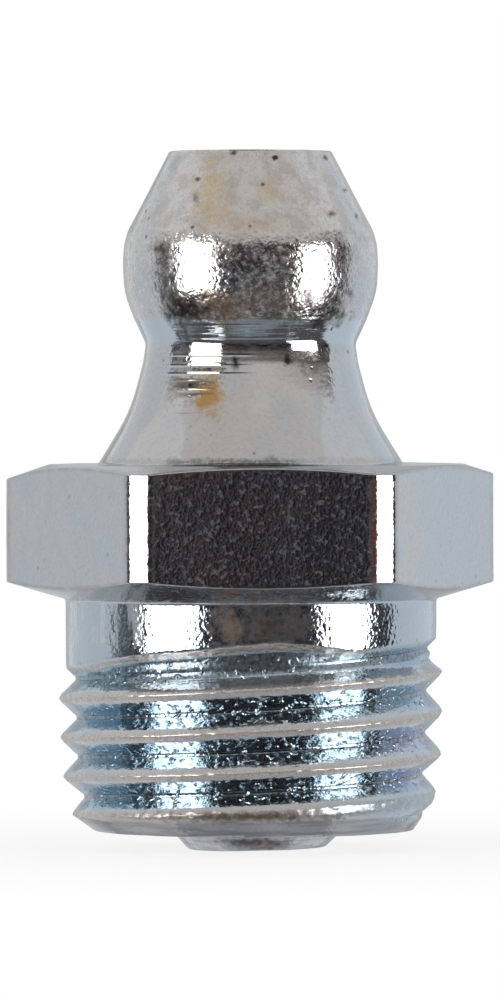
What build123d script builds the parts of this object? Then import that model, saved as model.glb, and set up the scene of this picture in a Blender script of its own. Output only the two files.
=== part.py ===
from build123d import *
from math import atan, degrees, hypot, radians, sin, tan
import os

# A straight grease nipple with a short tapered M10 x 1 thread, turned from 11 mm hexagon
# bar. Inside, a coil spring holds a steel ball up against the seat below the inlet, and
# the thin end ring is rolled inwards under the spring to keep both of them in.
# Millimetres. The origin is the centre of the end ring's lower face, +Z runs up the axis
# to the inlet, and one flat of the hexagon faces -Y. Radii are measured from the axis.

# ---- heights of the body ----
HEIGHT = 17.8
HEX_TOP_Z = 9.82
HEX_BOTTOM_Z = 6.39
THREAD_END_Z = 0.5

# ---- hexagon: bar with its corners turned off, chamfered above and below ----
ACROSS_FLATS = 11.0
CORNER_RADIUS = 6.21
TOP_CIRCLE_RADIUS = 5.31
TOP_CHAMFER_ANGLE = 18.5
BOTTOM_CHAMFER_ANGLE = 16.2

# ---- neck and head, which the coupler of a grease gun clips over ----
FOOT_RADIUS = 3.9
KNEE_RADIUS, KNEE_Z = 3.04, 11.13
NECK_RADIUS, NECK_Z = 2.665, 12.85
HEAD_RADIUS = 3.25
UNDER_HEAD_ANGLE = 23.0
TOP_RADIUS = 2.07
HEAD_CONE_ANGLE = 27.8
KNEE_FILLET = 3.0
NECK_FILLET = 0.5
HEAD_FILLET = 1.3
TOP_FILLET = 0.08

# ---- shank and thread ----
SHANK_RADIUS = 4.73
SHANK_FILLET = 0.15
PITCH = 1.0
TAPER = 1 / 16
GAUGE_Z, GAUGE_RADIUS = 2.8, 4.84
THREAD_DEPTH = 0.5
CREST_WIDTH = 0.16
ROOT_WIDTH = 0.18
FLANK_ANGLE = 30.0
GROOVE_START_Z = -0.135
GROOVE_TURNS = 5
RUN_OUT_TURN = 0.45
RUN_OUT_RISE = 0.65
GROOVE_CLEARANCE = 0.1
RELIEF_BOTTOM_Z = 4.4
RELIEF_TOP_Z = 4.65
RIM_RADIUS = 4.07
END_CHAMFER_ANGLE = 36.0

# ---- end ring, rolled inwards under the spring ----
RING_TIP_RADIUS = 1.7
RING_BASE_RADIUS = 2.2
RING_FILLET = 0.12
OUTLET_RADIUS = 0.95
LIP_EDGE_Z = 0.2
LIP_TOP_Z = 0.62

# ---- passage, ball and spring ----
BORE_RADIUS = 1.5
INLET_RADIUS = 0.8
INLET_CHAMFER = 0.15
SEAT_DEPTH = 0.55
SEAT_ANGLE = 45.0
BALL_RADIUS = 1.25
SEATED_GAP = 0.02
WIRE_RADIUS = 0.175
WIRE_SIDES = 8
COIL_RADIUS = 1.2
COIL_TURNS = 7
LIP_GAP = 0.01

# ---- how far from a plane an edge may lie and still be found on it ----
EDGE_REACH = 0.01

# ---- worked-out sizes ----
under_head_z = NECK_Z + (HEAD_RADIUS - NECK_RADIUS) / tan(radians(UNDER_HEAD_ANGLE))
over_head_z = HEIGHT - (HEAD_RADIUS - TOP_RADIUS) / tan(radians(HEAD_CONE_ANGLE))
corner_top_z = HEX_TOP_Z - (CORNER_RADIUS - TOP_CIRCLE_RADIUS) * tan(
    radians(TOP_CHAMFER_ANGLE)
)
corner_bottom_z = HEX_BOTTOM_Z + (CORNER_RADIUS - SHANK_RADIUS) * tan(
    radians(BOTTOM_CHAMFER_ANGLE)
)
seat_z = HEIGHT - SEAT_DEPTH
bore_top_z = seat_z - (BORE_RADIUS - INLET_RADIUS) / tan(radians(SEAT_ANGLE))


def crest_radius(z):
    """The thread's crest radius at a height: the taper is on the diameter."""
    return GAUGE_RADIUS + (z - GAUGE_Z) * TAPER / 2


def outline(corners):
    """A closed profile of (radius, height) corners, to be revolved about the axis."""
    with BuildSketch(Plane.XZ) as profile:
        with BuildLine():
            Polyline(*corners, close=True)
        make_face()
    return profile.sketch


def thread_groove(start_z, root_radius, rise, cone_angle):
    """The space between the flanks, along a conical helix that starts on the +X side."""
    half_width = (PITCH - CREST_WIDTH) / 2
    slope = tan(radians(FLANK_ANGLE))
    outer = THREAD_DEPTH + GROOVE_CLEARANCE
    outer_half_width = half_width + GROOVE_CLEARANCE * slope
    # The root's two corners are bevelled at twice the flank's slope.
    bevel_height = (half_width - THREAD_DEPTH * slope - ROOT_WIDTH / 2) / slope
    bevel_half_width = ROOT_WIDTH / 2 + 2 * slope * bevel_height
    with BuildPart() as groove:
        with BuildLine() as route:
            Helix(PITCH, rise, root_radius, center=(0, 0, start_z), cone_angle=cone_angle)
        with BuildSketch(Plane(origin=route.line @ 0, x_dir=(1, 0, 0), z_dir=route.line % 0)):
            with BuildLine():
                Polyline(
                    (outer, outer_half_width),
                    (bevel_height, bevel_half_width),
                    (0, ROOT_WIDTH / 2),
                    (0, -ROOT_WIDTH / 2),
                    (bevel_height, -bevel_half_width),
                    (outer, -outer_half_width),
                    close=True,
                )
            make_face()
        sweep(path=route.line, is_frenet=True)
    return groove.part


os.makedirs("parts", exist_ok=True)

# ---- hexagon blank ----
with BuildPart() as hexagon:
    with BuildSketch(Plane.XY.offset(HEX_BOTTOM_Z)):
        RegularPolygon(ACROSS_FLATS / 2, side_count=6, major_radius=False)
    extrude(amount=HEX_TOP_Z - HEX_BOTTOM_Z)
    turned_shape = outline(
        [
            (0, HEX_BOTTOM_Z),
            (SHANK_RADIUS, HEX_BOTTOM_Z),
            (CORNER_RADIUS, corner_bottom_z),
            (CORNER_RADIUS, corner_top_z),
            (TOP_CIRCLE_RADIUS, HEX_TOP_Z),
            (0, HEX_TOP_Z),
        ]
    )
    revolve(turned_shape, axis=Axis.Z, mode=Mode.INTERSECT)

# ---- thread groove: its full depth, then the run-out on the far side ----
groove_top_z = GROOVE_START_Z + GROOVE_TURNS * PITCH
full_groove = thread_groove(
    GROOVE_START_Z,
    crest_radius(GROOVE_START_Z) - THREAD_DEPTH,
    GROOVE_TURNS * PITCH,
    degrees(atan(TAPER / 2)),
)
run_out = thread_groove(
    groove_top_z,
    crest_radius(groove_top_z) - THREAD_DEPTH,
    RUN_OUT_TURN * PITCH,
    degrees(atan(RUN_OUT_RISE / (RUN_OUT_TURN * PITCH))),
)

# ---- nipple body ----
chamfer_top_z = THREAD_END_Z + (CORNER_RADIUS - RIM_RADIUS) / tan(radians(END_CHAMFER_ANGLE))
tapered_blank = outline(
    [
        (0, THREAD_END_Z),
        (crest_radius(THREAD_END_Z), THREAD_END_Z),
        (crest_radius(HEX_BOTTOM_Z), HEX_BOTTOM_Z),
        (0, HEX_BOTTOM_Z),
    ]
)
shank_relief = outline(
    [
        (crest_radius(RELIEF_BOTTOM_Z), RELIEF_BOTTOM_Z),
        (SHANK_RADIUS, RELIEF_TOP_Z),
        (SHANK_RADIUS, HEX_BOTTOM_Z),
        (CORNER_RADIUS, HEX_BOTTOM_Z),
        (CORNER_RADIUS, RELIEF_BOTTOM_Z),
    ]
)
end_chamfer = outline(
    [
        (RIM_RADIUS, THREAD_END_Z),
        (CORNER_RADIUS, chamfer_top_z),
        (CORNER_RADIUS, THREAD_END_Z),
    ]
)
passage = outline(
    [
        (0, 0),
        (OUTLET_RADIUS, 0),
        (OUTLET_RADIUS, LIP_EDGE_Z),
        (BORE_RADIUS, LIP_TOP_Z),
        (BORE_RADIUS, bore_top_z),
        (INLET_RADIUS, seat_z),
        (INLET_RADIUS, HEIGHT - INLET_CHAMFER),
        (INLET_RADIUS + INLET_CHAMFER, HEIGHT),
        (0, HEIGHT),
    ]
)
with BuildPart() as nipple_body:
    revolve(tapered_blank, axis=Axis.Z)
    add(full_groove, mode=Mode.SUBTRACT)
    add(run_out, mode=Mode.SUBTRACT)
    revolve(shank_relief, axis=Axis.Z, mode=Mode.SUBTRACT)
    revolve(end_chamfer, axis=Axis.Z, mode=Mode.SUBTRACT)
    add(hexagon.part)

    # Neck and head
    with BuildSketch(Plane.XZ):
        with BuildLine():
            FilletPolyline(
                (FOOT_RADIUS, HEX_TOP_Z),
                (KNEE_RADIUS, KNEE_Z),
                (NECK_RADIUS, NECK_Z),
                (HEAD_RADIUS, under_head_z),
                (HEAD_RADIUS, over_head_z),
                (TOP_RADIUS, HEIGHT),
                (0, HEIGHT),
                radius=[KNEE_FILLET, NECK_FILLET, HEAD_FILLET, HEAD_FILLET, TOP_FILLET],
            )
            Polyline((0, HEIGHT), (0, HEX_TOP_Z), (FOOT_RADIUS, HEX_TOP_Z))
        make_face()
    revolve(axis=Axis.Z)

    # End ring
    with BuildSketch(Plane.XZ):
        with BuildLine():
            FilletPolyline(
                (0, 0),
                (RING_TIP_RADIUS, 0),
                (RING_BASE_RADIUS, THREAD_END_Z),
                radius=RING_FILLET,
            )
            Polyline((RING_BASE_RADIUS, THREAD_END_Z), (0, THREAD_END_Z), (0, 0))
        make_face()
    revolve(axis=Axis.Z)

    # Passage from the inlet, past the ball's seat, down to the outlet
    revolve(passage, axis=Axis.Z, mode=Mode.SUBTRACT)

    shank_corner = (
        nipple_body.edges()
        .filter_by(GeomType.CIRCLE)
        .filter_by_position(Axis.Z, HEX_BOTTOM_Z - EDGE_REACH, HEX_BOTTOM_Z + EDGE_REACH)
    )
    fillet(shank_corner, SHANK_FILLET)

# ---- check ball, seated ----
seat_apex_z = seat_z + INLET_RADIUS / tan(radians(SEAT_ANGLE))
ball_z = seat_apex_z - (BALL_RADIUS + SEATED_GAP) / sin(radians(SEAT_ANGLE))
with BuildPart(Plane.XY.offset(ball_z)) as check_ball:
    Sphere(BALL_RADIUS)

# ---- valve spring, from the rolled lip up to the ball ----
lip_slope = (LIP_TOP_Z - LIP_EDGE_Z) / (BORE_RADIUS - OUTLET_RADIUS)
lip_under_coil_z = LIP_EDGE_Z + (COIL_RADIUS - OUTLET_RADIUS) * lip_slope
coil_bottom_z = lip_under_coil_z + (WIRE_RADIUS + LIP_GAP) * hypot(1, lip_slope)
ball_to_wire = BALL_RADIUS + WIRE_RADIUS + SEATED_GAP
coil_top_z = ball_z - (ball_to_wire**2 - COIL_RADIUS**2) ** 0.5
coil_length = coil_top_z - coil_bottom_z
with BuildPart() as valve_spring:
    with BuildLine() as coil:
        Helix(coil_length / COIL_TURNS, coil_length, COIL_RADIUS, center=(0, 0, coil_bottom_z))
    with BuildSketch(Plane(origin=coil.line @ 0, z_dir=coil.line % 0)):
        RegularPolygon(WIRE_RADIUS, side_count=WIRE_SIDES)
    sweep(path=coil.line, is_frenet=True)

nipple_body.part.label = "nipple_body"
export_step(nipple_body.part, "parts/nipple_body.step")
check_ball.part.label = "check_ball"
export_step(check_ball.part, "parts/check_ball.step")
valve_spring.part.label = "valve_spring"
export_step(valve_spring.part, "parts/valve_spring.step")
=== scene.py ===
import math

import bpy
import numpy as np
from mathutils import Matrix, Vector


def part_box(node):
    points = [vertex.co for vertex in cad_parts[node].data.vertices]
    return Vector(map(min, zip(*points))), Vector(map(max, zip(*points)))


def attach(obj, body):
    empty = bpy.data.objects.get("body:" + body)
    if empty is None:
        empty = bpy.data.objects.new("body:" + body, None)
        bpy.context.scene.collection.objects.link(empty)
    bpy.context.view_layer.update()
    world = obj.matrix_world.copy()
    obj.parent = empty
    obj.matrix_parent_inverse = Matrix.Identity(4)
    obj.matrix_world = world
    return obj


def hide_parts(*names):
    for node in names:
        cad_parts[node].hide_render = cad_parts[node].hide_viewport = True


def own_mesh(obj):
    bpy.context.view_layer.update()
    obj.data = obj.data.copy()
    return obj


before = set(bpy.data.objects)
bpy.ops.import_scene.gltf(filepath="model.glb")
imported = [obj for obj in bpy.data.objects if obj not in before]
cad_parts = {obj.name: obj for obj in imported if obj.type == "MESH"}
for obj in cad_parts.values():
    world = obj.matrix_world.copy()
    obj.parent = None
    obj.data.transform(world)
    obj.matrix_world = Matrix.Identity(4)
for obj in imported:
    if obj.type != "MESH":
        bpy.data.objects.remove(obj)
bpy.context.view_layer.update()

MM = 0.001

# ---- the nipple's sizes in millimetres, as in the solid model ----
HEIGHT = 17.8
# hexagon
HEX_TOP_Z = 9.82
HEX_BOTTOM_Z = 6.39
ACROSS_FLATS = 11.0
CORNER_RADIUS = 6.215
CORNER_ROUNDING = 0.02
HEX_ASIDE = -0.02
BAR_OFF_AXIS = (0.0, -0.035)
TOP_CIRCLE_RADIUS = 5.31
TOP_CHAMFER_SLOPE = math.tan(math.radians(18.5))
BOTTOM_CHAMFER_SLOPE = math.tan(math.radians(16.2))
FRONT_SPREAD = 1.15  # the front's share fades with the sine of the angle times this
FRONT_TOP_CHAMFER = (5.4, 0.23)  # radius of its circle, slope
FRONT_BOTTOM_CHAMFER = (5.535, 6.77, 0.212)  # a radius, the height there, slope
CHAMFER_ASIDE = 0.16
HEX_EDGE = 0.1  # how far each face's edge reaches, where painted shade darkens it
# outline above the hexagon; pairs are (radius, height)
FOOT_RADIUS = 3.9
KNEE = (3.066, 11.18)
WAIST = (2.741, 12.42)
NECK = (2.67, 12.89)
UNDER_HEAD = (2.955, 13.5)
CHEEK = (3.225, 14.2)
BULGE = (3.25, 14.95)
BROW = (3.225, 15.42)
TEMPLE = (3.125, 15.77)
TOP_RADIUS = 2.065
# thread
SHANK_RADIUS = 4.73
PITCH = 1.0
GAUGE = (4.855, 2.8)  # the threaded cone's radius at a height
TAPER = 1 / 32
LEAD_IN = (2.4, 0.12)  # height below which the cone falls away, and how fast
THREAD_END_Z = 0.5
THREAD_TURNS = range(-1, 7)
THREAD_DEPTH = 0.42
ROOT_WIDTH = 0.08
ROOT_ROUNDING = 0.005
CREST_WIDTH = 0.02
CREST_FALL = 0.12
CREST_SLOPE = 0.62
DRIFT = 0.045
STRETCH = (2.5, 0.075)  # height above which the pitch grows, and by how much
ROOT_START_Z = -0.135
FULL_TURNS = 5.0
RUN_OUT_TURNS = 0.45
RUN_OUT_LIFT = 0.65
LEAD_IN_TURNS = (1.45, 0.45)  # turns before which the root rises, and by how much
# relief between thread and hexagon
RELIEF_EDGE_ANGLES = (-180, -90, -60, -39, -16, 0, 15, 27, 55, 90, 130, 180)
RELIEF_EDGE_Z = (4.8, 4.62, 4.8, 5.08, 5.21, 5.37, 5.42, 5.22, 5.06, 5.17, 5.0, 4.8)
RELIEF_EDGE_TURN = 3  # degrees
RELIEF_EDGE_BLUR = (-8, -4, 0, 4, 8)  # degrees
RELIEF_FACE = (0.9, 0.19, 0.1)  # steep slope, its depth, gentle slope
RELIEF_ROUNDING = 0.02
LAST_CREST_SLOPE = 1.3
# end chamfer, end ring and passage
RIM_RADIUS = 4.08
RIM_ASIDE = 0.06
END_CHAMFER_RISE = (1.05, -0.36)  # mean slope, and its change from side to side
END_CHAMFER_ROUNDING = 0.03
RING_TIP_RADIUS = 1.75
RING_BASE_RADIUS = 2.2
RING_ASIDE = 0.15
RING_LIFT = 0.035
OUTLET_RADIUS = 0.95
LIP_EDGE_Z = 0.2
LIP_TOP_Z = 0.62
BORE_RADIUS = 1.5
INLET_RADIUS = 0.8
INLET_CHAMFER = 0.15
SEAT_Z = HEIGHT - 0.55
# mesh
COLUMNS = 420
HELIX_TOP_Z = 5.8
TOUCH = 1e-6
OUTSIDE, INSIDE = 0, 1  # material slots
# wear
WAVINESS = 0.0022
CREST_NICKS = 0.008
THREAD_INNER_RADIUS = 4.0  # points nearer the axis are the ring's or the passage's
SUNK_FROM_Z = 4.1
CRESTS_TO_Z = 4.9
# the spring inside
WIRE_RADIUS = 0.172
COIL_RADIUS = 1.2
COIL_TURNS = 7
COIL_GAP = 0.005
STEPS_PER_TURN = 40
WIRE_SIDES = 12


# ---------------------------------------------------------------- geometry
def smooth_min(a, b, width):
    """The smaller of two lengths, with the corner between them rounded over a width."""
    h = np.clip(0.5 + 0.5 * (b - a) / width, 0, 1)
    return b + (a - b) * h - width * h * (1 - h)


def random_waves(seed, count, size, reach):
    """A smooth random field: a sum of waves about one size, with a typical reach."""
    rng = np.random.default_rng(seed)
    way = rng.normal(size=(count, 3))
    way /= np.linalg.norm(way, axis=1)[:, None]
    way *= (2 * math.pi / size) * rng.uniform(0.6, 1.6, (count, 1))
    phase = rng.uniform(0, 2 * math.pi, count)

    def field(points):
        return reach * np.sin(points @ way.T + phase).sum(1) / math.sqrt(count / 2)

    return field


def rounded_corner(before, here, after, rounding):
    """Where an arc of one radius leaves and meets the straight runs beside a corner."""
    back, ahead = before - here, after - here
    back_length = np.linalg.norm(back, axis=1, keepdims=True)
    ahead_length = np.linalg.norm(ahead, axis=1, keepdims=True)
    back = back / back_length
    ahead = ahead / ahead_length
    turn = math.pi - np.arccos(np.clip((back * ahead).sum(1), -1, 1))
    reach = rounding * np.tan(turn / 2)[:, None]
    reach = np.minimum(reach, 0.48 * np.minimum(back_length, ahead_length))
    return here + back * reach, here + ahead * reach


def rounded_rows(profile, steps=4):
    """A profile's points at every column, from rows of (radius, height, rounding, pieces).

    A rounding is the radius at that corner, and the run from it to the next is cut in
    that many pieces.
    """
    points = [
        np.stack([np.broadcast_to(r, COLUMNS), np.broadcast_to(z, COLUMNS)], -1)
        for r, z, _, _ in profile
    ]
    rows = []
    leave = points[0]
    for k in range(1, len(points)):
        here, rounding, pieces = points[k], profile[k][2], profile[k - 1][3]
        arrive = depart = here
        if rounding > 0:
            arrive, depart = rounded_corner(points[k - 1], here, points[k + 1], rounding)
        rows += [leave + (arrive - leave) * s / pieces for s in range(pieces)]
        if rounding > 0:
            for t in (s / steps for s in range(steps)):
                rows.append((1 - t) ** 2 * arrive + 2 * t * (1 - t) * here + t * t * depart)
        leave = depart
    rows.append(leave)
    return np.stack(rows)


def crest_radius(z):
    """The threaded cone, which falls away faster over its first turns."""
    lead_in = LEAD_IN[1] * np.clip(LEAD_IN[0] - z, 0, None) ** 1.5
    return GAUGE[0] + (z - GAUGE[1]) * TAPER - lead_in


def hexagon_radius(angle):
    """The outline: a bar's flats, a little off the turning axis, and corners turned off round."""
    flats = []
    for k in range(6):
        facing = (k + 0.5) * math.pi / 3
        off = BAR_OFF_AXIS[0] * math.cos(facing) + BAR_OFF_AXIS[1] * math.sin(facing)
        flats.append((ACROSS_FLATS / 2 + off) / np.clip(np.cos(angle - facing), 0.3, 1))
    outline = smooth_min(np.min(flats, 0), CORNER_RADIUS, CORNER_ROUNDING)
    return outline + HEX_ASIDE * np.cos(angle)


def hexagon_edges(angle, hexagon):
    """Both chamfers, turned a little askew: shallower above the front face, deeper below it."""
    front = np.clip(-FRONT_SPREAD * np.sin(angle), 0, 1)
    chamfer_z = HEX_BOTTOM_Z + (hexagon - SHANK_RADIUS) * BOTTOM_CHAMFER_SLOPE
    low_radius, low_z, low_slope = FRONT_BOTTOM_CHAMFER
    chamfer_z += front * (low_z + (hexagon - low_radius) * low_slope - chamfer_z)
    circle = TOP_CIRCLE_RADIUS + CHAMFER_ASIDE * np.cos(angle)
    circle += front * (FRONT_TOP_CHAMFER[0] - circle)
    top_slope = TOP_CHAMFER_SLOPE + front * (FRONT_TOP_CHAMFER[1] - TOP_CHAMFER_SLOPE)
    return chamfer_z, circle, HEX_TOP_Z - (hexagon - circle) * top_slope


def helix_z(turns, angle):
    """The height of the rolled helix, which runs ahead of a true one, most on the right."""
    right = 0.5 * (1 + np.cos(angle))
    ahead = 2 * DRIFT + STRETCH[1] * np.clip(turns * PITCH - STRETCH[0], 0, None)
    return ROOT_START_Z + turns * PITCH + ahead * right


def groove_depth(angle, z):
    """How deep the thread's groove is below the crest, with its run-out at the top."""
    turn = angle / (2 * math.pi)
    depth = np.zeros_like(z)
    for k in THREAD_TURNS:
        turns = k + turn
        root_z = helix_z(turns, angle)
        away = np.abs(z - root_z)
        reach = (helix_z(turns + 0.5, angle) - helix_z(turns - 0.5, angle) - CREST_WIDTH) / 2
        steep = (THREAD_DEPTH - CREST_SLOPE * CREST_FALL) / (reach - CREST_FALL - ROOT_WIDTH / 2)
        flank = THREAD_DEPTH - steep * (away - ROOT_WIDTH / 2)
        flank = np.maximum(CREST_SLOPE * (reach - away), flank)
        lift = np.clip((turns - FULL_TURNS) / RUN_OUT_TURNS, 0, 2) * RUN_OUT_LIFT
        lift += np.clip(LEAD_IN_TURNS[0] - turns, 0, 1) * LEAD_IN_TURNS[1]
        cut = smooth_min(flank, THREAD_DEPTH, ROOT_ROUNDING) - lift
        depth = np.maximum(depth, cut)
    return depth


def relief_edge(angle):
    """The height where the relief begins, uneven where the run-out bites into it."""
    front = np.degrees(np.mod(angle + 1.5 * math.pi, 2 * math.pi) - math.pi)
    front = front + RELIEF_EDGE_TURN
    edges = [np.interp(front + d, RELIEF_EDGE_ANGLES, RELIEF_EDGE_Z) for d in RELIEF_EDGE_BLUR]
    return np.mean(edges, 0)


def relief_radius(angle, z):
    """The turned-down face above the last full thread, which ends that thread's crest."""
    below = np.clip(relief_edge(angle) - z, 0, None)
    steep, step, gentle = RELIEF_FACE
    fall = smooth_min(steep * below, step + gentle * (below - step / steep), RELIEF_ROUNDING)
    last_root = ROOT_START_Z + (FULL_TURNS - 0.25 + 0.25 * np.cos(angle)) * PITCH
    under_root = np.clip(last_root - 0.02 - z, 0, None)
    return SHANK_RADIUS - np.where(below > 0, fall, 0) + LAST_CREST_SLOPE * under_root


def chamfer_radius(angle, z):
    """The end chamfer, steeper on the side where the rolled metal stands out."""
    rise = END_CHAMFER_RISE[0] + END_CHAMFER_RISE[1] * np.cos(angle)
    return RIM_RADIUS + RIM_ASIDE * np.cos(angle) + (z - THREAD_END_Z) * rise


def shank_radius(angle, z):
    """The shank's surface: threaded cone, relief below the hexagon, end chamfer."""
    thread = crest_radius(z) - groove_depth(angle, z)
    ended = smooth_min(thread, chamfer_radius(angle, z), END_CHAMFER_ROUNDING)
    return smooth_min(ended, relief_radius(angle, z), RELIEF_ROUNDING)


def helical_sheet(angles):
    """Heights of rows that follow the thread's helix, and the rows in one pitch."""
    half = [0.0, 0.036, 0.048, 0.14, 0.24, 0.32, 0.37, 0.44, 0.48]
    pitch_rows = half + [0.5] + [1 - d for d in reversed(half[1:])]
    levels = np.array([k + d for k in THREAD_TURNS for d in pitch_rows])
    turn = angles[:, None] / (2 * math.pi)
    return helix_z(levels[None, :] + turn, angles[:, None]), len(pitch_rows)


class TurnedMesh:
    """Points and faces of a turned piece, ring by ring with a point at every column."""

    def __init__(self):
        self.angles = np.arange(COLUMNS) * 2 * math.pi / COLUMNS
        self.points = []
        self.faces = []
        self.total = 0

    def add(self, angles, radius, z):
        """Adds points and returns their numbers."""
        self.points.append(np.stack([radius * np.cos(angles), radius * np.sin(angles), z], 1))
        first, self.total = self.total, self.total + len(z)
        return np.arange(first, self.total)

    def add_rings(self, rows):
        """Adds one ring of points for each row of a profile."""
        return [self.add(self.angles, row[:, 0], row[:, 1]) for row in rows]

    def join(self, rings, slot):
        """Faces between each ring and the next."""
        for a, b in zip(rings[:-1], rings[1:]):
            for quad in zip(a, np.roll(a, -1), np.roll(b, -1), b):
                self.faces.append((tuple(int(v) for v in quad), slot))

    def add_thread(self, bottom, top):
        """One sheet along the thread's helix, cut off level at two rings."""
        z, per_pitch = helical_sheet(self.angles)
        low = z <= THREAD_END_Z + TOUCH
        high = z >= HELIX_TOP_Z - TOUCH
        inner = ~(low | high)
        column = np.broadcast_to(np.arange(COLUMNS)[:, None], z.shape)
        ids = np.zeros(z.shape, int)
        ids[low] = bottom[column[low]]
        ids[high] = top[column[high]]
        a = self.angles[column[inner]]
        ids[inner] = self.add(a, shank_radius(a, z[inner]), z[inner])
        # past the last column comes the first one, a pitch further up
        again = np.concatenate([ids[0][per_pitch:], np.full(per_pitch, top[0])])
        for here, there in zip(ids, [*ids[1:], again]):
            for j in range(len(here) - 1):
                quad = (here[j], there[j], there[j + 1], here[j + 1])
                kept = [int(v) for n, v in enumerate(quad) if v != quad[n - 1]]
                if len(set(kept)) >= 3:
                    self.faces.append((tuple(kept), OUTSIDE))


def end_ring_rows(angles, tip_z):
    """The rolled end ring and the end face, from the outlet outwards."""
    off = RING_ASIDE * np.cos(angles)
    return rounded_rows(
        [
            (OUTLET_RADIUS, tip_z, 0, 4),
            (RING_TIP_RADIUS + off, tip_z, 0.14, 5),
            (RING_BASE_RADIUS + off, THREAD_END_Z, 0.06, 6),
            (chamfer_radius(angles, THREAD_END_Z), THREAD_END_Z, 0, 0),
        ]
    )


def upper_rows(angles):
    """Shank, hexagon, neck and head, up to the inlet."""
    hexagon = hexagon_radius(angles)
    chamfer_z, circle, shoulder_z = hexagon_edges(angles, hexagon)
    return rounded_rows(
        [
            (SHANK_RADIUS, HELIX_TOP_Z, 0, 3),
            (SHANK_RADIUS, HEX_BOTTOM_Z, 0.12, 3),
            (hexagon, chamfer_z, 0.05, 1),
            (hexagon, chamfer_z + HEX_EDGE, 0, 3),
            (hexagon, shoulder_z - HEX_EDGE, 0, 1),
            (hexagon, shoulder_z, 0.08, 3),
            (circle, HEX_TOP_Z, 0.06, 3),
            (FOOT_RADIUS, HEX_TOP_Z, 0.16, 4),
            (*KNEE, 4.5, 2),
            (*WAIST, 1.0, 2),
            (*NECK, 0.3, 3),
            (*UNDER_HEAD, 0.15, 2),
            (*CHEEK, 2.7, 2),
            (*BULGE, 3.0, 2),
            (*BROW, 1.2, 2),
            (*TEMPLE, 0.9, 5),
            (TOP_RADIUS, HEIGHT, 0.08, 3),
            (INLET_RADIUS + INLET_CHAMFER, HEIGHT, 0.03, 1),
            (INLET_RADIUS, HEIGHT - INLET_CHAMFER, 0, 0),
        ]
    )


def passage_rows(tip_z):
    """The passage from the inlet down to the outlet."""
    return rounded_rows(
        [
            (INLET_RADIUS, HEIGHT - INLET_CHAMFER, 0, 1),
            (INLET_RADIUS, SEAT_Z, 0.02, 1),
            (BORE_RADIUS, SEAT_Z - (BORE_RADIUS - INLET_RADIUS), 0.02, 2),
            (BORE_RADIUS, LIP_TOP_Z, 0.02, 1),
            (OUTLET_RADIUS, LIP_EDGE_Z, 0.02, 1),
            (OUTLET_RADIUS, tip_z, 0, 0),
        ],
        steps=1,
    )


def body_mesh():
    """The whole turned piece as one closed mesh."""
    made = TurnedMesh()
    tip_z = RING_LIFT * (1 + np.cos(made.angles))
    ring = made.add_rings(end_ring_rows(made.angles, tip_z))
    top = made.add_rings([np.full((COLUMNS, 2), (SHANK_RADIUS, HELIX_TOP_Z))])
    made.add_thread(ring[-1], top[0])
    upper = made.add_rings(upper_rows(made.angles)[1:])
    passage = made.add_rings(passage_rows(tip_z)[1:-1])
    made.join(ring, OUTSIDE)
    made.join(top + upper, OUTSIDE)
    made.join([upper[-1], *passage, ring[0]], INSIDE)
    return np.concatenate(made.points), made.faces


def make_object(name, verts, faces, materials):
    """A smooth mesh object from points in millimetres and (corners, slot) faces."""
    mesh = bpy.data.meshes.new(name)
    mesh.from_pydata([tuple(p) for p in np.asarray(verts) * MM], [], [f for f, _ in faces])
    for material in materials:
        mesh.materials.append(material)
    mesh.polygons.foreach_set("material_index", [int(slot) for _, slot in faces])
    mesh.polygons.foreach_set("use_smooth", [True] * len(mesh.polygons))
    mesh.update()
    obj = bpy.data.objects.new(name, mesh)
    bpy.context.scene.collection.objects.link(obj)
    return obj


def thread_shares(angle, radius, z):
    """Each point's share in the thread's groove, and in its crests and the relief's lip."""
    shank = (z < HELIX_TOP_Z) & (radius > THREAD_INNER_RADIUS)
    cut = groove_depth(angle, z)
    on_thread = np.clip(1 - (crest_radius(z) - cut - radius) / 0.1, 0, 1)
    on_thread *= shank & (z > THREAD_END_Z)
    # near the relief, what lies below the shank's face counts as groove
    sunk = np.clip((SHANK_RADIUS - 0.12 - radius) / 0.06, 0, 1) * (shank & (z > SUNK_FROM_Z))
    groove = np.clip(np.maximum(cut * on_thread / THREAD_DEPTH, sunk), 0, 1)
    crest = np.clip(1.35 - cut / 0.07, 0, 1) * on_thread * (z < CRESTS_TO_Z)
    # the relief's edge has a bright lip, as the crests have
    on_relief = np.abs(radius - relief_radius(angle, z)) < 0.03
    on_relief &= (z > relief_edge(angle) - 0.35) & (z < HELIX_TOP_Z)
    inward = SHANK_RADIUS - radius
    lip = np.clip((inward - 0.01) / 0.04, 0, 1) * np.clip((0.16 - inward) / 0.05, 0, 1)
    return groove, np.maximum(crest, lip * on_relief)


def edge_share(angle, radius, z):
    """Each point's share in the painted shade along the hexagon's edges and corners."""
    hexagon = hexagon_radius(angle)
    chamfer_z, _, shoulder_z = hexagon_edges(angle, hexagon)
    from_edge = np.minimum(np.abs(z - chamfer_z), np.abs(z - shoulder_z)) / HEX_EDGE
    from_corner = np.abs(np.mod(np.degrees(angle) + 30, 60) - 30)
    edge_shade = np.clip(np.maximum(1 - from_edge, (4.5 - from_corner) / 1.5), 0, 1)
    on_bar = np.abs(radius - hexagon) < 0.06
    return edge_shade * (on_bar & (z > chamfer_z - 0.05) & (z < shoulder_z + 0.05))


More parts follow.
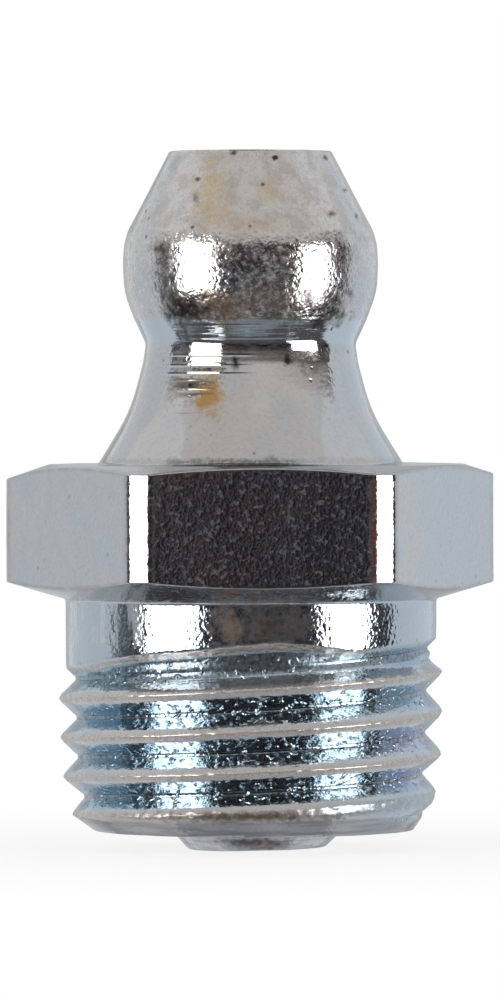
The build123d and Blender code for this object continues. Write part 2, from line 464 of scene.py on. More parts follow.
def wear_shape(obj):
    """Waviness everywhere, rough crests, and the shares that the plating's look follows."""
    mesh = obj.data
    count = len(mesh.vertices)
    points = np.empty(count * 3)
    mesh.vertices.foreach_get("co", points)
    points = points.reshape(-1, 3) / MM
    normals = np.empty(count * 3, np.float32)
    mesh.vertices.foreach_get("normal", normals)
    normals = normals.reshape(-1, 3).astype(float)
    radius = np.hypot(points[:, 0], points[:, 1])
    angle = np.mod(np.arctan2(points[:, 1], points[:, 0]), 2 * math.pi)
    groove, crest = thread_shares(angle, radius, points[:, 2])
    move = random_waves(seed=1, count=24, size=1.7, reach=WAVINESS)(points)
    nicks = random_waves(seed=2, count=40, size=0.3, reach=CREST_NICKS)(points)
    move += crest * (nicks - CREST_NICKS / 2)
    points += normals * move[:, None]
    mesh.vertices.foreach_set("co", (points * MM).ravel())
    edge = edge_share(angle, radius, points[:, 2])
    for name, share in (("edge", edge), ("groove", groove), ("crest", crest)):
        mesh.attributes.new(name, "FLOAT", "POINT").data.foreach_set("value", share)
    mesh.update()


# ---------------------------------------------------------------- materials
class Shader:
    """Short ways to build the nodes of one material or world."""

    def __init__(self, owner, output="ShaderNodeOutputMaterial"):
        self.owner = owner
        owner.use_nodes = True
        self.tree = owner.node_tree
        self.tree.nodes.clear()
        self.out = self.tree.nodes.new(output)

    def put(self, node, socket, value):
        """Links or sets one input."""
        target = node.inputs[socket]
        if isinstance(value, bpy.types.NodeSocket):
            self.tree.links.new(value, target)
        else:
            target.default_value = value

    def node(self, kind, inputs, **settings):
        """A new node with its settings made first, then its inputs."""
        made = self.tree.nodes.new(kind)
        for key, value in settings.items():
            setattr(made, key, value)
        for socket, value in inputs.items():
            self.put(made, socket, value)
        return made

    def finish(self, shader):
        """Makes this node the surface and returns the finished material or world."""
        self.tree.links.new(shader.outputs[0], self.out.inputs["Surface"])
        return self.owner

    def metal(self, base, roughness, relief, distance, metallic=1.0, strength=1.0):
        """Ends a metal whose relief is a height, with one unit of it as long as the distance."""
        bump = self.node(
            "ShaderNodeBump", {"Strength": strength, "Distance": distance, "Height": relief}
        )
        shader = self.node(
            "ShaderNodeBsdfPrincipled",
            {
                "Base Color": base,
                "Metallic": metallic,
                "Roughness": roughness,
                "Normal": bump.outputs[0],
            },
        )
        return self.finish(shader)

    # -- places --
    def place(self):
        """Each point's place in metres."""
        return self.node("ShaderNodeTexCoord", {}).outputs["Object"]

    def millimetres(self):
        """Each point's place in millimetres."""
        return self.vector("SCALE", {0: self.place(), "Scale": 1 / MM})

    def vector(self, operation, inputs, output="Vector"):
        return self.node("ShaderNodeVectorMath", inputs, operation=operation).outputs[output]

    def stretched(self, vector, scale):
        return self.vector("MULTIPLY", {0: vector, 1: scale})

    def length(self, vector):
        return self.vector("LENGTH", {0: vector}, "Value")

    def parts(self, vector):
        return self.node("ShaderNodeSeparateXYZ", {0: vector}).outputs

    def share(self, name):
        """A number that the mesh carries at each point."""
        return self.node("ShaderNodeAttribute", {}, attribute_name=name).outputs["Fac"]

    # -- numbers --
    def math(self, operation, *values, clamp=False):
        inputs = dict(enumerate(values))
        return self.node("ShaderNodeMath", inputs, operation=operation, use_clamp=clamp).outputs[0]

    def times(self, *values):
        """The product of all the values."""
        made = values[0]
        for value in values[1:]:
            made = self.math("MULTIPLY", made, value)
        return made

    def times_plus(self, value, factor, rest):
        """value * factor + rest"""
        return self.math("MULTIPLY_ADD", value, factor, rest)

    def span(self, value, low, high, to_low=0.0, to_high=1.0):
        """A smooth step from one number at low to another at high, which may be the smaller."""
        made = self.node(
            "ShaderNodeMapRange",
            {
                "Value": value,
                "From Min": low,
                "From Max": high,
                "To Min": to_low,
                "To Max": to_high,
            },
            interpolation_type="SMOOTHSTEP",
        )
        return made.outputs["Result"]

    def band(self, value, low, full, still_full, high):
        """A share that rises from low to full, and falls from still_full to high."""
        return self.times(self.span(value, low, full), self.span(value, high, still_full))

    # -- textures and colours --
    def noise(self, vector, scale, detail, roughness):
        made = self.node(
            "ShaderNodeTexNoise",
            {"Vector": vector, "Scale": scale, "Detail": detail, "Roughness": roughness},
        )
        return made.outputs["Fac"]

    def mix(self, share, a, b):
        """Colour a, with that share of colour b."""
        a, b = ((*c, 1.0) if isinstance(c, tuple) else c for c in (a, b))
        return self.node("ShaderNodeMix", {0: share, 6: a, 7: b}, data_type="RGBA").outputs[2]

    def spot(self, vector, centre, reach, ragged, grain):
        """A ragged patch about a point in millimetres, with its reach along x, y and z."""
        off = self.vector("SUBTRACT", {0: vector, 1: centre})
        away = self.length(self.vector("DIVIDE", {0: off, 1: reach}))
        broken = self.noise(vector, grain, 4.0, 0.7)
        uneven = self.times_plus(broken, 2 * ragged, away)
        return self.span(uneven, 1.1 + ragged, 0.1 + ragged)


# heights between which a look lies: (begins, full, still full, ends)
COLLAR = (12.8, 12.95, 13.45, 13.6)
PALE_SHANK = (0.95, 1.15, 6.3, 6.5)
BULGE_BAND = (13.4, 13.6, 15.3, 15.6)
UNDER_HEXAGON = (5.3, 5.4, 6.3, 6.5)
END_CHAMFER = (0.45, 0.55, 0.88, 0.98)
VIOLET_THREAD = (1.5, 2.0, 3.2, 3.9)
HEXAGON = (6.4, 6.6, 9.6, 9.8)
TOOLED_COLLAR = (12.7, 12.9, 13.5, 13.7)
ROUGH_NECK = (10.9, 11.3, 12.7, 12.9)
ROUGH_SHANK = (5.1, 5.3, 6.3, 6.5)

# colours of the plating, with painted light, shade and reflections among them
COOL, WARM, VIOLET = (0.415, 0.447, 0.485), (0.456, 0.452, 0.455), (0.435, 0.425, 0.46)
# the pale head colour is painted light
HEAD_PAINTED_LIGHT, TAN_HAZE, BROWN_BLOTCH = (0.55, 0.53, 0.525), (0.43, 0.41, 0.385), (0.39, 0.37, 0.36)
# the dark mottle colour is painted shade
DARK_SPECKLE, FRONT_MOTTLE_SHADE, DARK_PIT = (0.27, 0.27, 0.27), (0.1, 0.075, 0.07), (0.10, 0.09, 0.085)
COLLAR_BLUE, SHANK_BLUE = (0.42, 0.465, 0.50), (0.385, 0.445, 0.49)
# the first colour here is painted shade along the hexagon's edges
EDGE_SHADE, CHAMFER_GREY, STREAK_GREY = (0.31, 0.285, 0.28), (0.26, 0.265, 0.28), (0.2, 0.19, 0.195)
# painted reflections in the thread's grooves, one for each side
GROOVE_REFLECTION_LEFT, GROOVE_REFLECTION_FRONT = (0.25, 0.362, 0.445), (0.35, 0.42, 0.465)
GROOVE_REFLECTION_RIGHT, GROOVE_REFLECTION_VIOLET = (0.28, 0.37, 0.46), (0.36, 0.385, 0.51)
# painted shade in the roots, the crests' bare colour, and a painted blue reflection on crests
ROOT_SHADE, BARE_CREST, CREST_REFLECTION_BLUE = (0.08, 0.1, 0.12), (0.41, 0.38, 0.36), (0.33, 0.37, 0.41)
# the first colour here is painted shade in the corner at the neck's foot
CORNER_SHADE, DARK_TOOL_LINE = (0.2, 0.2, 0.205), (0.13, 0.11, 0.1)
# the middle colour here serves pits and painted shade
RUST, PIT_AND_SHADE_BROWN, BLACK = (0.36, 0.235, 0.11), (0.085, 0.065, 0.06), (0.025, 0.02, 0.018)

# marks seen in the photo, placed one by one: (centre, reach along x, y and z, amount, colour)
# some of these marks are painted shade and painted dark reflections, as their comments say
MARKS_AND_PAINTED_SHADE = (
    ((-1.1, -2.3, 16.6), (0.6, 1.2, 1.6), 0.6, (0.43, 0.33, 0.18)),
    ((0.33, -2.6, 16.7), (0.3, 0.8, 0.5), 0.55, (0.43, 0.34, 0.2)),
    ((-1.2, -2.6, 11.6), (0.55, 1.0, 0.85), 1.0, (0.33, 0.2, 0.07)),
    ((2.77, -5.5, 8.0), (0.15, 1.0, 2.4), 0.9, (0.2, 0.08, 0.05)),
    ((-0.2, -3.0, 15.85), (1.3, 1.0, 0.4), 0.35, RUST),
    # painted shade and painted dark reflections round the highlights of the bulge and below them
    ((-1.0, -3.0, 13.85), (1.0, 1.5, 0.7), 0.8, (0.17, 0.1, 0.055)),
    ((0.6, -3.0, 14.0), (1.3, 1.5, 0.7), 0.5, (0.15, 0.11, 0.09)),
    ((-1.75, -2.4, 13.8), (0.95, 1.2, 0.6), 1.0, BLACK),
    ((-2.3, -2.2, 15.25), (0.3, 0.8, 0.3), 1.0, PIT_AND_SHADE_BROWN),
    ((-2.2, -2.3, 14.5), (0.35, 0.8, 0.7), 0.6, PIT_AND_SHADE_BROWN),
    ((-1.0, -3.0, 15.2), (0.3, 0.8, 0.5), 0.7, PIT_AND_SHADE_BROWN),
    ((2.15, -2.4, 15.0), (0.3, 0.8, 0.8), 0.9, PIT_AND_SHADE_BROWN),
    ((0.75, -3.0, 14.7), (0.3, 0.8, 0.7), 0.6, PIT_AND_SHADE_BROWN),
    ((1.65, -2.4, 13.78), (1.1, 1.2, 0.62), 1.0, BLACK),
    ((1.35, -2.3, 12.45), (0.55, 0.9, 0.4), 0.8, PIT_AND_SHADE_BROWN),
    # painted shade at the thread's end and in the end ring's middle, then darker brown spots on the
    # shank under the hexagon
    ((-0.4, -4.5, 1.05), (3.3, 1.8, 0.17), 1.0, (0.1, 0.07, 0.06)),
    ((0.0, -1.8, 0.25), (1.2, 0.9, 0.2), 0.9, PIT_AND_SHADE_BROWN),
    ((0.3, -4.8, 5.9), (1.9, 1.5, 0.8), 0.5, (0.17, 0.11, 0.07)),
    ((-0.85, -4.7, 5.75), (0.5, 1.0, 0.7), 0.8, (0.27, 0.19, 0.15)),
    # dark marks beside the neck's highlights, then pits in the cone
    ((-0.52, -2.6, 12.4), (0.12, 0.6, 0.3), 1.0, BLACK),
    ((0.8, -2.5, 12.5), (0.14, 0.6, 0.28), 1.0, BLACK),
    ((-0.53, -2.06, 17.7), (0.14, 0.5, 0.09), 1.0, BLACK),
    ((0.52, -2.13, 17.58), (0.11, 0.5, 0.08), 1.0, BLACK),
    ((-1.43, -2.0, 17.04), (0.09, 0.5, 0.1), 1.0, PIT_AND_SHADE_BROWN),
    ((1.84, -1.15, 17.6), (0.1, 0.5, 0.09), 1.0, PIT_AND_SHADE_BROWN),
    ((2.35, -1.11, 16.78), (0.09, 0.5, 0.09), 1.0, PIT_AND_SHADE_BROWN),
    ((1.93, -2.19, 16.17), (0.14, 0.5, 0.1), 1.0, PIT_AND_SHADE_BROWN),
    ((2.62, -1.33, 16.12), (0.09, 0.5, 0.12), 1.0, PIT_AND_SHADE_BROWN),
    ((0.19, -2.53, 16.9), (0.06, 0.5, 0.06), 0.9, PIT_AND_SHADE_BROWN),
    ((-1.5, -2.3, 16.55), (0.1, 0.5, 0.25), 0.6, PIT_AND_SHADE_BROWN),
)

# rings that the turning tool left at the waist, each reaching a width up and down
TOOL_RINGS_Z = (12.6, 12.34, 12.13)
TOOL_RING_WIDTH = 0.05
TOOL_RING_DEPTH = 0.007
PIT_DEPTH = 0.006
SPOT_RAGGED, SPOT_GRAIN, SPOT_FILM = 1.2, 3.5, 0.3


class Plating(Shader):
    """Zinc plate with a pale blue passivation, in layers laid one over the other.

    Heights and widths are in millimetres. `base` is the colour so far and `film` the
    share of haze, rust and old grease, which scatter light instead of mirroring it.
    """

    def __init__(self):
        super().__init__(bpy.data.materials.new("plated_steel_worn_and_painted_shade"))
        self.mm = self.millimetres()
        self.across, self.ahead, self.height = self.parts(self.mm)
        self.groove, self.crest, self.edge = map(self.share, ("groove", "crest", "edge"))
        self.aside = self.math("ABSOLUTE", self.across)
        self.deep = self.span(self.groove, 0.2, 0.55)
        self.cloud = self.noise(self.mm, 2.3, 4.0, 0.6)
        self.patch = self.noise(self.mm, 4.2, 3.0, 0.6)
        self.fine = self.noise(self.mm, 12.0, 2.0, 0.6)
        self.haze = self.noise(self.mm, 8.0, 3.0, 0.7)
        self.turned = self.span(self.height, 9.7, 10.3)
        self.head = self.span(self.height, 14.2, 15.4)
        self.bulge = self.span(self.height, 13.35, 13.7)
        self.bulge_band = self.band(self.height, *BULGE_BAND)
        front = self.span(self.ahead, -1.0, -2.0)
        self.middle = self.times(self.span(self.aside, 2.4, 2.1), front)

    def tint(self, share, colour):
        """Lays that share of a colour over the base."""
        self.base = self.mix(share, self.base, colour)

    def passivation(self):
        """Broad cool and warm areas, bluer to the right as a painted reflection, paler on the head
        as painted light, darker on the hexagon's edges as painted shade.
        """
        s = self
        broad = s.noise(s.mm, 0.55, 3.0, 0.55)
        # bluer towards the right: a painted reflection
        cooler = s.times_plus(s.across, -0.022, broad)
        s.base = s.mix(s.span(cooler, 0.40, 0.58), COOL, WARM)
        s.tint(s.span(s.cloud, 0.48, 0.68, 0.0, 0.6), VIOLET)
        # the head painted paler: painted light
        s.tint(s.times(s.head, 0.6), HEAD_PAINTED_LIGHT)
        s.tint(s.times(s.turned, s.span(s.haze, 0.42, 0.66, 0.0, 0.5)), TAN_HAZE)
        blotch = s.span(s.noise(s.mm, 2.4, 3.0, 0.6), 0.42, 0.62)
        s.tint(s.times(blotch, s.times(s.head, 0.75)), BROWN_BLOTCH)
        speckle = s.times(s.span(s.fine, 0.46, 0.7), s.times_plus(s.head, 0.12, 0.2))
        s.tint(speckle, DARK_SPECKLE)
        s.tint(s.band(s.height, *COLLAR), COLLAR_BLUE)
        # painted shade along the hexagon's edges and round its corners
        s.tint(s.times(s.edge, s.span(s.cloud, 0.3, 0.6, 0.25, 0.75)), EDGE_SHADE)
        s.tint(s.times(s.band(s.height, *PALE_SHANK), 0.7), SHANK_BLUE)

    def front_mottle_shade(self):
        """Painted shade: coarse dark mottling only in front, on the bulge and on the shank under
        the hexagon.
        """
        s = self
        both = s.times_plus(s.bulge_band, 0.4, s.times(s.band(s.height, *UNDER_HEXAGON), 0.5))
        # painted shade: dark mottles only on the front
        s.tint(s.times(s.span(s.patch, 0.46, 0.64), s.times(both, s.middle)), FRONT_MOTTLE_SHADE)

    def end_chamfer(self):
        """The grey end chamfer, with fine level streaks."""
        s, height = self, self.height
        chamfer = s.band(height, *END_CHAMFER)
        s.tint(s.times(chamfer, s.span(s.aside, 1.5, 3.2, 0.65, 0.95)), CHAMFER_GREY)
        streaks = s.noise(s.stretched(s.mm, (0.6, 0.6, 7.0)), 1.0, 3.0, 0.6)
        streak = s.times(
            s.span(streaks, 0.4, 0.62),
            s.span(height, 1.0, 0.85),
            s.span(height, 0.4, 0.6, 0.45, 0.75),
        )
        s.tint(streak, STREAK_GREY)

    def thread_colours(self):
        """Blue flanks, violet on the right, over dark roots and under bare crests: the blues are
        painted reflections, the dark roots painted shade, and the crests' blue at the lower right a
        painted reflection.
        """
        s, across, height = self, self.across, self.height
        blue = s.mix(s.span(across, -3.6, -2.4), GROOVE_REFLECTION_LEFT, GROOVE_REFLECTION_FRONT)
        right = s.mix(s.band(height, *VIOLET_THREAD), GROOVE_REFLECTION_RIGHT, GROOVE_REFLECTION_VIOLET)
        blue = s.mix(s.span(across, 2.8, 3.8), blue, right)
        # painted reflections: blue in the grooves
        s.tint(s.span(s.groove, 0.15, 0.6), blue)
        root = s.times(s.span(s.groove, 0.93, 0.99), s.span(s.haze, 0.35, 0.6, 0.9, 0.4))
        # painted shade in the roots
        s.tint(root, ROOT_SHADE)
        # a painted blue reflection on the crests at the lower right
        right_end_reflection = s.times(s.span(across, 1.0, 2.2), s.span(height, 1.75, 1.5))
        s.tint(s.span(s.crest, 0.1, 0.9), s.mix(right_end_reflection, BARE_CREST, CREST_REFLECTION_BLUE))

    def more_film(self, share, factor):
        """Adds a share times a factor to the film."""
        self.film = self.times_plus(share, factor, self.film)

    def hazes(self):
        """Haze on the head, in the thread and on the crests, and salt on the hexagon."""
        s, height = self, self.height
        on_head = s.times(s.span(s.haze, 0.45, 0.62, 0.0, 0.27), s.bulge)
        patchy = s.times(
            s.span(s.noise(s.mm, 4.5, 2.0, 0.6), 0.5, 0.6, 0.0, 0.24),
            s.bulge,
            s.span(s.aside, 1.6, 2.0),
            s.span(height, 15.8, 15.5),
        )
        s.film = s.math("ADD", on_head, patchy)
        s.more_film(s.times(s.deep, s.span(height, 4.3, 4.6)), 0.1)
        s.more_film(s.span(s.fine, 0.45, 0.75), s.times_plus(s.bulge, 0.06, 0.02))
        between_mottles = s.times(s.span(s.patch, 0.5, 0.36), s.times(s.bulge_band, s.middle))
        s.more_film(between_mottles, 0.14)
        salt = s.span(s.noise(s.mm, 8.0, 1.0, 0.5), 0.56, 0.72, 0.0, 0.12)
        s.more_film(salt, s.band(height, *HEXAGON))
        s.more_film(s.crest, 0.4)

    def oil_run(self):
        """Upright runs of old grease at the shank's left."""
        s, height = self, self.height
        runs = s.noise(s.stretched(s.mm, (3.2, 3.2, 0.3)), 1.0, 2.0, 0.6)
        run = s.times(s.span(runs, 0.5, 0.6), s.span(height, 6.6, 6.3))
        left = s.times(s.span(height, 5.2, 5.4), s.span(s.across, -2.3, -2.8))
        s.more_film(s.times(run, left), 0.35)

    def marks_and_painted_shade(self):
        """The listed marks in colour and film: stains, pits and dark marks, with painted shade and
        painted dark reflections among them.
        """
        for centre, reach, amount, colour in MARKS_AND_PAINTED_SHADE:
            spot = self.spot(self.mm, centre, reach, SPOT_RAGGED, SPOT_GRAIN)
            mask = self.times(spot, amount)
            self.tint(mask, colour)
            self.more_film(mask, SPOT_FILM)

    def pits(self):
        """Scattered dark dots, more of them above the hexagon. Returns their share."""
        s = self
        cells = s.node("ShaderNodeTexVoronoi", {"Vector": s.mm, "Scale": 1.9}).outputs
        chosen = s.node("ShaderNodeSeparateColor", {0: cells["Color"]}).outputs["Red"]
        dot = s.times(
            s.span(cells["Distance"], 0.13, 0.06),
            s.span(chosen, 0.5, 0.55),
            s.times_plus(s.turned, 0.6, 0.3),
        )
        s.tint(dot, DARK_PIT)
        return dot

    def corner_shade(self):
        """Painted shade in the corner where the neck meets the hexagon."""
        s = self
        uneven_height = s.times_plus(s.cloud, 0.35, s.height)
        uneven_radius = s.times_plus(s.cloud, 0.5, s.length(s.stretched(s.mm, (1, 1, 0))))
        from_left = s.math("ABSOLUTE", s.math("ADD", s.across, 0.65))
        corner = s.times(
            s.span(uneven_height, 10.23, 10.11),
            s.span(s.height, 9.74, 9.8),
            s.span(s.haze, 0.35, 0.55, 0.45, 1.0),
            s.span(uneven_radius, 4.5, 4.2),
            s.span(from_left, 1.9, 1.4, 0.3, 1.0),
        )
        # painted shade in the corner
        s.tint(corner, CORNER_SHADE)

    def tool_marks(self):
        """Turned lines round the neck, dark at its left. Returns them with their height."""
        s, height, across = self, self.height, self.across
        lines = s.noise(s.stretched(s.mm, (0.35, 0.35, 9.0)), 1.0, 1.0, 0.5)
        left = s.times(
            s.span(height, 10.9, 11.2),
            s.span(across, -0.9, -1.3),
            s.span(height, 12.2, 11.95),
            s.span(across, -2.15, -1.85),
        )
        s.tint(s.times(left, s.span(lines, 0.5, 0.62, 0.0, 0.8)), DARK_TOOL_LINE)
        marked = s.math("MAXIMUM", s.band(height, *TOOLED_COLLAR), left)
        return lines, s.times_plus(marked, 0.009, 0.001)

    def relief(self, dot, lines, line_height):
        """Specks, grain, beads, tool marks and pits, as one height in millimetres."""
        s, height = self, self.height
        speck = s.noise(s.mm, 8.0, 1.0, 0.4)
        grain = s.noise(s.mm, 15.0, 1.0, 0.5)
        skin = s.times(s.bulge, s.span(height, 16.1, 15.7, 0.45, 1.0))
        speck_height = s.times_plus(s.span(height, 9.9, 9.6), 0.005, 0.001)
        speck_height = s.times_plus(skin, 0.013, speck_height)
        neck = s.times(s.band(height, *ROUGH_NECK), s.span(s.aside, 1.3, 1.9))
        speck_height = s.times_plus(neck, 0.006, speck_height)
        speck_height = s.times_plus(s.band(height, *ROUGH_SHANK), 0.006, speck_height)
        grain_height = s.times_plus(s.math("SUBTRACT", 1.0, s.turned), 0.003, 0.001)
        grain_height = s.times_plus(skin, 0.006, grain_height)
        beads = s.span(s.noise(s.mm, 6.0, 1.0, 0.4), 0.58, 0.76)
        beads = s.times(beads, s.times(s.deep, s.span(height, 4.8, 4.5, 0.011, 0.035)))
        relief = s.times_plus(speck, speck_height, beads)
        relief = s.times_plus(grain, grain_height, relief)
        relief = s.times_plus(lines, line_height, relief)
        relief = s.times_plus(s.crest, s.times(speck, 0.002), relief)
        for ring_z in TOOL_RINGS_Z:
            from_ring = s.math("ABSOLUTE", s.math("SUBTRACT", height, ring_z))
            ring = s.times(s.span(from_ring, TOOL_RING_WIDTH, 0.0), s.span(s.across, 0.2, -0.8))
            relief = s.times_plus(ring, -TOOL_RING_DEPTH, relief)
        return s.times_plus(dot, -PIT_DEPTH, relief)

    def roughness(self):
        """Smooth plate, rougher on crests, in the upper grooves and under the film."""
        s = self
        rough = s.span(s.fine, 0.3, 0.7, 0.05, 0.11)
        rough = s.times_plus(s.crest, 0.12, rough)
        rough = s.times_plus(s.deep, s.span(s.height, 4.3, 4.6, 0.04, 0.16), rough)
        return s.times_plus(s.film, 0.25, rough)


def plated_steel():
    """Zinc plate with specks, rust-stained spots and tool marks, with painted light, shade and
    reflections in its colour, as the photo shows it.
    """
    s = Plating()
    s.passivation()
    s.front_mottle_shade()
    s.end_chamfer()
    s.thread_colours()
    s.hazes()
    s.oil_run()
    s.marks_and_painted_shade()
    dot = s.pits()
    s.corner_shade()
    lines, line_height = s.tool_marks()
    relief = s.relief(dot, lines, line_height)
    mirror = s.math("SUBTRACT", 1.0, s.film, clamp=True)
    return s.metal(s.base, s.roughness(), relief, MM, metallic=mirror)


def bore_steel():
    """Bare drilled steel inside, dark with grease, with drill marks."""
    s = Shader(bpy.data.materials.new("bore_steel_oiled"))
    mm = s.millimetres()
    cloud = s.noise(mm, 1.8, 4.0, 0.6)
    base = s.mix(s.span(cloud, 0.35, 0.7), (0.20, 0.19, 0.18), (0.32, 0.30, 0.27))
    rings = s.noise(s.stretched(mm, (0.4, 0.4, 9.0)), 1.0, 2.0, 0.6)
    return s.metal(base, s.span(cloud, 0.3, 0.7, 0.28, 0.45), rings, 0.01 * MM)


def ball_steel():
    """Polished hardened steel with a film of grease and hair scratches."""
    s = Shader(bpy.data.materials.new("ball_steel_polished"))
    mm = s.millimetres()
    cloud = s.noise(mm, 2.0, 3.0, 0.6)
    base = s.mix(s.span(cloud, 0.4, 0.7), (0.60, 0.61, 0.63), (0.52, 0.50, 0.45))
    scratch = s.noise(mm, 14.0, 3.0, 0.7)
    rough = s.span(cloud, 0.3, 0.7, 0.06, 0.16)
    return s.metal(base, rough, scratch, 0.002 * MM, strength=0.6)


def spring_steel():
    """Drawn spring wire, dark, with drawing lines and a little oil."""
    s = Shader(bpy.data.materials.new("spring_steel_drawn"))
    mm = s.millimetres()
    cloud = s.noise(mm, 1.5, 4.0, 0.6)
    base = s.mix(s.span(cloud, 0.35, 0.7), (0.42, 0.43, 0.45), (0.30, 0.28, 0.26))
    lines = s.noise(s.stretched(mm, (1.0, 1.0, 24.0)), 1.2, 2.0, 0.6)
    return s.metal(base, s.span(cloud, 0.3, 0.7, 0.22, 0.38), lines, 0.004 * MM)


# ---------------------------------------------------------------- stage
ROOM_DISTANCE = 1.2
SOFTBOX_DISTANCE = 0.6
SOFTBOX_LIFT = 0.012
SOFTBOX_RADIANCE = 8.0
FLOOR_REACH = 3.0
CARD_PIECES = (24, 8)  # across and up


def on_sphere(distance, azimuth, elevation):
    """A point round the object: azimuth 0 is in front of it, and 90 on its right."""
    a, e = math.radians(azimuth), math.radians(elevation)
    return (
        distance * (math.cos(e) * math.sin(a)),
        distance * (-math.cos(e) * math.cos(a)),
        distance * math.sin(e),
    )


def stage_piece(name, verts, faces, material):
    """A piece of the studio, which is no part of the nipple."""
    mesh = bpy.data.meshes.new(name)
    mesh.from_pydata(verts, [], faces)
    mesh.materials.append(material)
    piece = bpy.data.objects.new(name, mesh)
    bpy.context.scene.collection.objects.link(piece)
    return piece


def unseen_card(name, azimuths, elevations, distance, paint):
    """A cloth on a sphere round the object, which only reflections show."""
    across, up = CARD_PIECES
    verts, faces = [], []
    for i in range(across + 1):
        azimuth = azimuths[0] + (azimuths[1] - azimuths[0]) * i / across
        for j in range(up + 1):
            elevation = elevations[0] + (elevations[1] - elevations[0]) * j / up
            verts.append(on_sphere(distance, azimuth, elevation))
    for i in range(across):
        for j in range(up):
            k = i * (up + 1) + j
            faces.append((k, k + up + 1, k + up + 2, k + 1))
    s = Shader(bpy.data.materials.new(name + "_cloth"))
    material = s.finish(s.node("ShaderNodeEmission", {"Color": paint(s, s.place())}))
    card = stage_piece(name, verts, faces, material)
    card.visible_camera = False
    card.visible_diffuse = False
    card.visible_shadow = False


def cloth(dark, light, size):
    """A cloth whose shade wanders between two colours."""

    def paint(s, where):
        return s.mix(s.span(s.noise(where, size, 2.0, 0.6), 0.38, 0.68), dark, light)

    return paint


def dark_room(s, where):
    """The unlit room behind the camera: darkest level with it, paler above and below."""
    aside, ahead, up = s.parts(where)

    def at(degrees):
        return ROOM_DISTANCE * math.sin(math.radians(degrees))

    clutter = s.noise(where, 5.5, 2.0, 0.6)
    colour = s.mix(s.span(clutter, 0.42, 0.66), (0.02, 0.017, 0.021), (0.14, 0.125, 0.13))
    colour = s.mix(s.span(up, at(-6), at(-30), 0.0, 0.35), colour, (0.34, 0.29, 0.27))
    colour = s.mix(s.span(up, at(5), at(20), 0.0, 0.5), colour, (0.34, 0.30, 0.28))
    far_left = s.times(
        s.span(ahead, -0.3 * ROOM_DISTANCE, 0.02 * ROOM_DISTANCE),
        s.span(aside, 0, -0.3 * ROOM_DISTANCE),
    )
    side = s.mix(s.span(clutter, 0.4, 0.6), (0.16, 0.165, 0.18), (0.55, 0.58, 0.61))
    colour = s.mix(s.times(far_left, 0.8), colour, side)
    return s.mix(s.span(up, at(15), at(28)), colour, (0.80, 0.77, 0.74))


FAR = 1.25
ALL_ROUND = (-180, 180)
# (name, azimuths, elevations, distance, paint), in degrees and metres
UNSEEN_CARDS = (
    ("cool_right", (93, 151), (-46.5, 30), FAR, cloth((0.88, 0.94, 1.0), (0.94, 0.99, 1.03), 2.0)),
    ("cool_left", (-151, -99), (-46.5, 30), FAR, cloth((0.84, 0.88, 0.92), (0.9, 0.94, 0.97), 2.0)),
    ("flag_left", (-73, -29), (23, 28.5), 1.15, cloth((0.06, 0.05, 0.04), (0.25, 0.22, 0.2), 9.0)),
    ("dark_front", (-99, 93), (-46.5, 28), ROOM_DISTANCE, dark_room),
    ("ceiling", (-80, 80), (28, 72), FAR, cloth((0.84, 0.81, 0.78), (0.92, 0.90, 0.87), 1.0)),
    ("overhead", ALL_ROUND, (72, 89.9), FAR, cloth((0.22, 0.20, 0.2), (0.42, 0.40, 0.39), 4.0)),
    ("grey_back", (152, 202), (-46.5, 30), FAR, cloth((0.5, 0.52, 0.54), (0.7, 0.72, 0.74), 3.0)),
    ("shade_below", (-70, 70), (-62, -46.5), 1.2, cloth((0.38, 0.41, 0.44), (0.54, 0.57, 0.61), 3)),
    ("shade_under", ALL_ROUND, (-89.9, -62), 1.2, cloth((0.55, 0.56, 0.58), (0.8, 0.81, 0.84), 4)),
)


def softbox(name, azimuth, elevation, width, height):
    """A rectangular lamp that faces the object."""
    data = bpy.data.lights.new(name, "AREA")
    data.shape = "RECTANGLE"
    data.size, data.size_y = width, height
    data.energy = SOFTBOX_RADIANCE * math.pi * width * height
    lamp = bpy.data.objects.new(name, data)
    x, y, z = on_sphere(SOFTBOX_DISTANCE, azimuth, elevation)
    lamp.location = (x, y, z + SOFTBOX_LIFT)
    lamp.rotation_euler = (math.radians(90 - elevation), 0, math.radians(azimuth))
    lamp.visible_camera = False
    bpy.context.scene.collection.objects.link(lamp)


def surround():
    """A world that is clear white to the camera and in reflections, and lights less."""
    world = bpy.data.worlds.new("studio")
    bpy.context.scene.world = world
    s = Shader(world, "ShaderNodeOutputWorld")
    seen = s.node("ShaderNodeLightPath", {}).outputs
    either = s.math("MAXIMUM", seen["Is Camera Ray"], seen["Is Glossy Ray"])
    every = s.math("MAXIMUM", either, seen["Is Transmission Ray"])
    level = s.node("ShaderNodeMapRange", {"Value": every, "To Min": 0.55, "To Max": 1.0})
    white = {"Color": (1, 1, 1, 1), "Strength": level.outputs["Result"]}
    s.finish(s.node("ShaderNodeBackground", white))


def studio():
    """White surround, dark room in front, a softbox each side of the camera."""
    surround()
    for card in UNSEEN_CARDS:
        unseen_card(*card)
    softbox("softbox_left", -53.5, 0.5, 0.38, 0.49)
    softbox("softbox_right", 59, -10.5, 0.34, 0.52)


